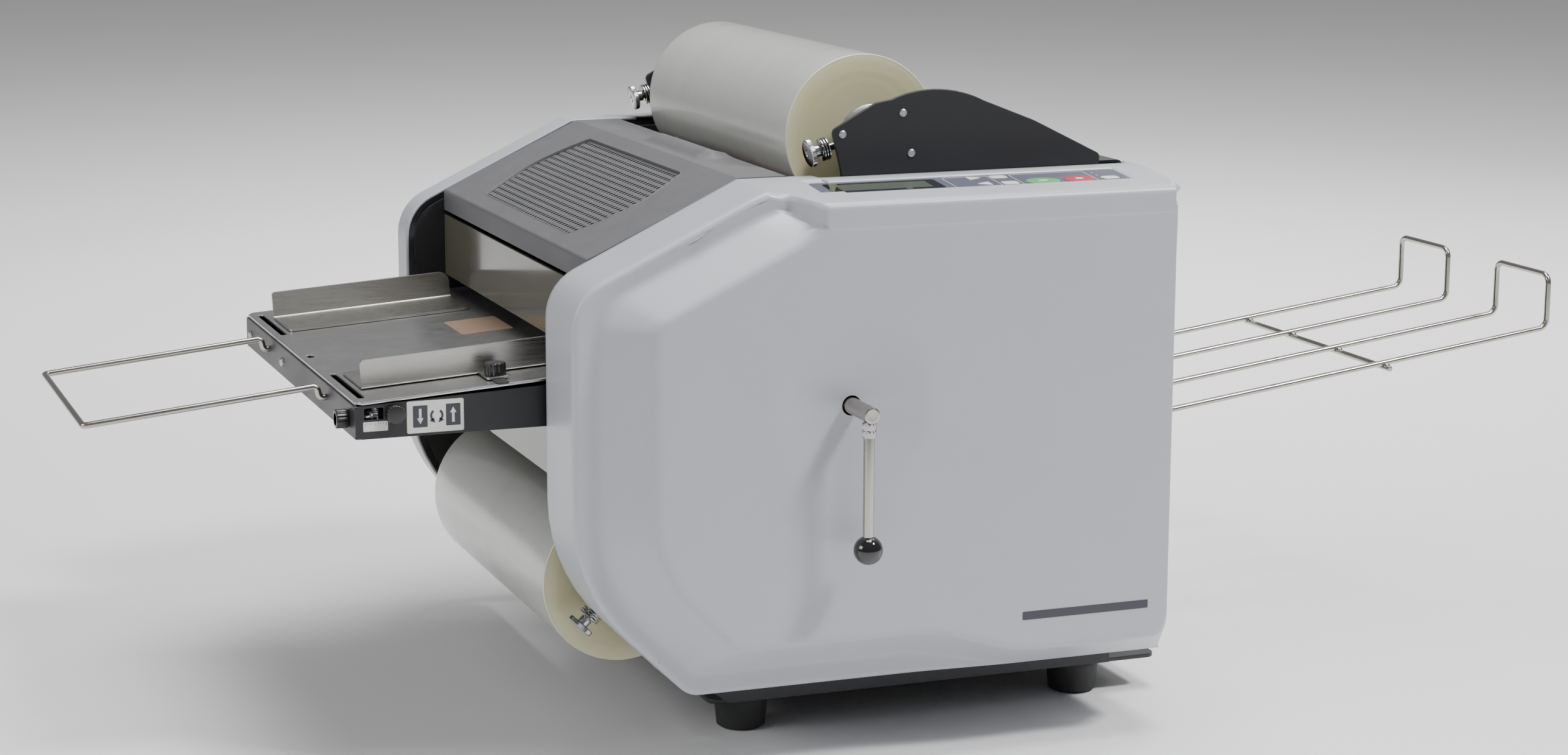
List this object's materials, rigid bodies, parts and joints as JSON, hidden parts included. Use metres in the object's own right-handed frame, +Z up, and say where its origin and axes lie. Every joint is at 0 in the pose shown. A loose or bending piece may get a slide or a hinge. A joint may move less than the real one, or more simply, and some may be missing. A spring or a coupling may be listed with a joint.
{
  "type": "roll film laminator",
  "caption": "Desktop roll-film laminator with a sheet feed tray, upper and lower film rolls, a vented lid, a key panel, a pressure lever and a wire output rack.",
  "frame": {"origin": "middle of the machine's outline, on the surface that it stands on", "axes": "+Y is the feed direction, from the feed tray to the output rack; +X is the side with the pressure lever; +Z is up"},
  "size_m": [0.6017, 1.2356, 0.5098],
  "materials": {
    "powder_black": "satin",
    "cover_grey": "satin",
    "lid_grey": "textured matte",
    "panel_film": "satin",
    "display_glass": "gloss",
    "steel": "brushed",
    "cast_alloy": "satin",
    "chromed": "polished",
    "smoked_sheet": "gloss",
    "film": "satin",
    "cardboard": "matte",
    "rubber_red": "matte",
    "rubber_black": "matte",
    "pad_brown": "matte",
    "black_plastic": "gloss",
    "gear_plastic": "matte",
    "brass_gear": "satin",
    "motor_metal": "satin",
    "board_green": "satin",
    "key_white": "satin",
    "key_green": "satin",
    "key_red": "satin"
  },
  "bodies": {
    "machine": {"base_plate": "powder_black", "feet": "rubber_black", "side_plates": "powder_black", "tie_bars": "steel", "left_cover": "cover_grey", "right_cover": "cover_grey", "panel_overlay": "panel_film", "display_window": "display_glass", "roll_brackets": "powder_black", "front_shields": "smoked_sheet", "exit_panel": "powder_black", "feed_tray": "powder_black", "tray_deck": "steel", "feed_pad": "pad_brown", "feed_wire_loop": "chromed", "output_rack": "chromed", "drive_motor": "motor_metal", "control_board": "board_green", "mains_inlet": "black_plastic", "fasteners": "chromed", "brake_springs": "chromed"},
    "lid": {"top_cover": "lid_grey"},
    "upper_reel": {"upper_film": "film", "upper_core": "cardboard", "upper_mandrel": "steel"},
    "lower_reel": {"lower_film": "film", "lower_core": "cardboard", "lower_mandrel": "steel"},
    "nip_carriage": {"nip_blocks": "cast_alloy"},
    "upper_nip": {"upper_nip_roller": "rubber_red", "upper_nip_shaft": "steel", "upper_nip_gear": "gear_plastic"},
    "lower_nip": {"lower_nip_roller": "rubber_red", "lower_nip_shaft": "steel", "lower_nip_gear": "gear_plastic"},
    "upper_pull": {"upper_pull_roller": "rubber_black"},
    "lower_pull": {"lower_pull_roller": "rubber_black"},
    "pinion": {"motor_pinion": "brass_gear"},
    "lever": {"lever_shaft": "steel", "lever_rod": "chromed", "lever_nuts": "chromed", "lever_ball": "black_plastic"},
    "right_upper_brake": {"right_upper_knob": "chromed"},
    "left_upper_brake": {"left_upper_knob": "chromed"},
    "right_lower_brake": {"right_lower_knob": "chromed"},
    "left_lower_brake": {"left_lower_knob": "chromed"},
    "left_sheet_guide": {"left_guide": "steel"},
    "right_sheet_guide": {"right_guide": "steel"},
    "guide_lock": {"guide_lock_knob": "black_plastic"},
    "skew_adjuster": {"skew_knob": "black_plastic"},
    "lift_adjuster": {"lift_knob": "black_plastic"},
    "feeder": {"feed_roller": "rubber_black"},
    "start": {"start_key": "key_green"},
    "stop": {"stop_key": "key_red"},
    "up": {"up_key": "key_white"},
    "down": {"down_key": "key_white"},
    "mode": {"mode_key": "key_white"},
    "select": {"select_key": "key_white"},
    "jog": {"jog_key": "key_white"},
    "rocker": {"power_rocker": "black_plastic"}
  },
  "joints": [
    {"name": "lid_hinge", "type": "hinge", "parent": "machine", "child": "lid", "pos_m": [-0.03885, -0.2553, 0.366], "axis": [1, 0, 0], "range_deg": [0, 105]},
    {"name": "upper_reel_spin", "type": "hinge", "parent": "machine", "child": "upper_reel", "pos_m": [-0.03885, -0.0346, 0.4485], "axis": [1, 0, 0], "continuous": true},
    {"name": "lower_reel_spin", "type": "hinge", "parent": "machine", "child": "lower_reel", "pos_m": [-0.03885, -0.2257, 0.1198], "axis": [1, 0, 0], "continuous": true},
    {"name": "lever_swing", "type": "hinge", "parent": "machine", "child": "lever", "pos_m": [-0.03885, -0.0968, 0.2713], "axis": [1, 0, 0], "range_deg": [0, 120]},
    {"name": "nip_lift", "type": "slide", "parent": "machine", "child": "nip_carriage", "axis": [0, 0, 1], "range_m": [0, 0.0045]},
    {"name": "lower_nip_spin", "type": "hinge", "parent": "machine", "child": "lower_nip", "pos_m": [-0.03885, -0.1383, 0.2738], "axis": [1, 0, 0], "continuous": true},
    {"name": "upper_nip_spin", "type": "hinge", "parent": "nip_carriage", "child": "upper_nip", "pos_m": [-0.03885, -0.1383, 0.3262], "axis": [1, 0, 0], "continuous": true},
    {"name": "pinion_spin", "type": "hinge", "parent": "machine", "child": "pinion", "pos_m": [-0.03885, -0.15795, 0.23977], "axis": [1, 0, 0], "continuous": true},
    {"name": "lower_pull_spin", "type": "hinge", "parent": "machine", "child": "lower_pull", "pos_m": [-0.03885, 0.0617, 0.2838], "axis": [1, 0, 0], "continuous": true},
    {"name": "upper_pull_spin", "type": "hinge", "parent": "machine", "child": "upper_pull", "pos_m": [-0.03885, 0.0617, 0.3162], "axis": [1, 0, 0], "continuous": true},
    {"name": "feed_roller_spin", "type": "hinge", "parent": "machine", "child": "feeder", "pos_m": [-0.03885, -0.2363, 0.31064], "axis": [1, 0, 0], "continuous": true},
    {"name": "right_upper_knob_turn", "type": "hinge", "parent": "machine", "child": "right_upper_brake", "pos_m": [0.16715, -0.0809, 0.446], "axis": [0, -0.9703, -0.2419], "range_deg": [-360, 360]},
    {"name": "left_upper_knob_turn", "type": "hinge", "parent": "machine", "child": "left_upper_brake", "pos_m": [-0.24485, -0.0809, 0.446], "axis": [0, -0.9703, -0.2419], "range_deg": [-360, 360]},
    {"name": "right_lower_knob_turn", "type": "hinge", "parent": "machine", "child": "right_lower_brake", "pos_m": [0.15115, -0.2593, 0.106], "axis": [0, -0.7071, -0.7071], "range_deg": [-360, 360]},
    {"name": "left_lower_knob_turn", "type": "hinge", "parent": "machine", "child": "left_lower_brake", "pos_m": [-0.22885, -0.2593, 0.106], "axis": [0, -0.7071, -0.7071], "range_deg": [-360, 360]},
    {"name": "left_guide_slide", "type": "slide", "parent": "machine", "child": "left_sheet_guide", "axis": [1, 0, 0], "range_m": [-0.01, 0.065]},
    {"name": "right_guide_slide", "type": "slide", "parent": "machine", "child": "right_sheet_guide", "axis": [1, 0, 0], "range_m": [-0.065, 0.01]},
    {"name": "guide_lock_turn", "type": "hinge", "parent": "right_sheet_guide", "child": "guide_lock", "pos_m": [0.13315, -0.3263, 0.2843], "axis": [0, -0.0637, 0.998], "range_deg": [0, 270]},
    {"name": "skew_knob_turn", "type": "hinge", "parent": "machine", "child": "skew_adjuster", "pos_m": [0.13315, -0.4369, 0.262], "axis": [0, -1, 0], "range_deg": [-360, 360]},
    {"name": "lift_knob_turn", "type": "hinge", "parent": "machine", "child": "lift_adjuster", "pos_m": [0.15715, -0.4083, 0.268], "axis": [1, 0, 0], "range_deg": [-180, 180]},
    {"name": "start_key_press", "type": "slide", "parent": "machine", "child": "start", "axis": [0.0993, 0, 0.9951], "range_m": [-0.0005, 0], "stiffness_N_per_m": 400},
    {"name": "stop_key_press", "type": "slide", "parent": "machine", "child": "stop", "axis": [0.0993, 0, 0.9951], "range_m": [-0.0005, 0], "stiffness_N_per_m": 400},
    {"name": "up_key_press", "type": "slide", "parent": "machine", "child": "up", "axis": [0.0993, 0, 0.9951], "range_m": [-0.0005, 0], "stiffness_N_per_m": 400},
    {"name": "down_key_press", "type": "slide", "parent": "machine", "child": "down", "axis": [0.0993, 0, 0.9951], "range_m": [-0.0005, 0], "stiffness_N_per_m": 400},
    {"name": "mode_key_press", "type": "slide", "parent": "machine", "child": "mode", "axis": [0.0993, 0, 0.9951], "range_m": [-0.0005, 0], "stiffness_N_per_m": 400},
    {"name": "select_key_press", "type": "slide", "parent": "machine", "child": "select", "axis": [0.0993, 0, 0.9951], "range_m": [-0.0005, 0], "stiffness_N_per_m": 400},
    {"name": "jog_key_press", "type": "slide", "parent": "machine", "child": "jog", "axis": [0.0993, 0, 0.9951], "range_m": [-0.0005, 0], "stiffness_N_per_m": 400},
    {"name": "rocker_tilt", "type": "hinge", "parent": "machine", "child": "rocker", "pos_m": [0.11115, 0.1617, 0.12], "axis": [1, 0, 0], "range_deg": [-16, 0]}
  ],
  "couplings": [
    {"joint": "nip_lift", "follows": "lever_swing", "m_per_rad": 0.0021486},
    {"joint": "upper_nip_spin", "follows": "lower_nip_spin", "ratio": -1},
    {"joint": "pinion_spin", "follows": "lower_nip_spin", "ratio": -2},
    {"joint": "lower_pull_spin", "follows": "lower_nip_spin", "ratio": 1.625},
    {"joint": "upper_pull_spin", "follows": "lower_nip_spin", "ratio": -1.625}
  ]
}
